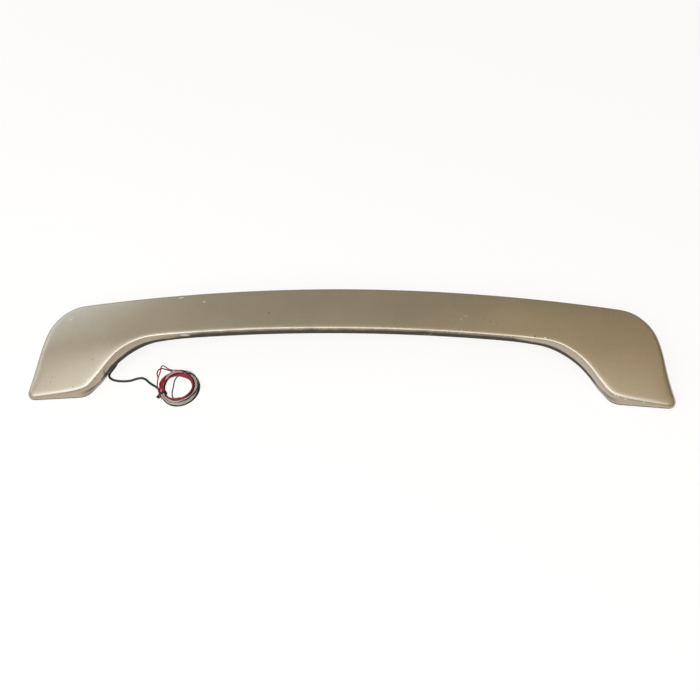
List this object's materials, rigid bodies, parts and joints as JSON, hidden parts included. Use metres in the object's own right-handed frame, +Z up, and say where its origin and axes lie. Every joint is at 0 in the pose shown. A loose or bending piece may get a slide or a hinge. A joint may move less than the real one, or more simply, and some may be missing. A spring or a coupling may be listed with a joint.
{
  "type": "car rear spoiler",
  "caption": "Painted boot-lid spoiler: a shallow arched blade that bridges two forward feet, with a stop lamp in its trailing edge and its lead coiled beside one foot.",
  "frame": {"origin": "bottom centre of the part's box, on the plane under both feet", "axes": "+X across the car, +Y towards the car's rear, where the blade's trailing edge is, +Z up"},
  "size_m": [1.2252, 0.2159, 0.0997],
  "materials": {
    "paint": "champagne metallic paint under clear coat, lightly scuffed",
    "black_plastic": "fine moulded grain",
    "foam": "closed-cell foam or soft rubber, matt",
    "brass": "machined, slightly dull",
    "lens": "clear red, polished outside and fluted behind",
    "board": "lacquered circuit board",
    "steel": "plated",
    "sheath": "smooth black sheath",
    "nylon": "natural moulded nylon",
    "wires": "black, red and white insulation"
  },
  "bodies": {
    "root": {"upper_skin": "paint", "lower_skin": "black_plastic", "foot_base_left": "black_plastic", "foot_base_right": "black_plastic", "foot_foam_left": "foam", "foot_foam_right": "foam", "inserts_left": "brass", "inserts_right": "brass", "lamp_housing": "black_plastic", "lamp_lens": "lens", "lamp_seal": "foam", "lamp_board": "board", "lamp_leds": "lens", "lamp_screws": "steel", "lamp_clips": "steel", "lamp_lead": "sheath", "lead_clips": "nylon", "lead_grommet": "foam", "lead_run": "sheath", "lead_coil": "wires", "lead_tie": "black_plastic"}
  },
  "joints": []
}
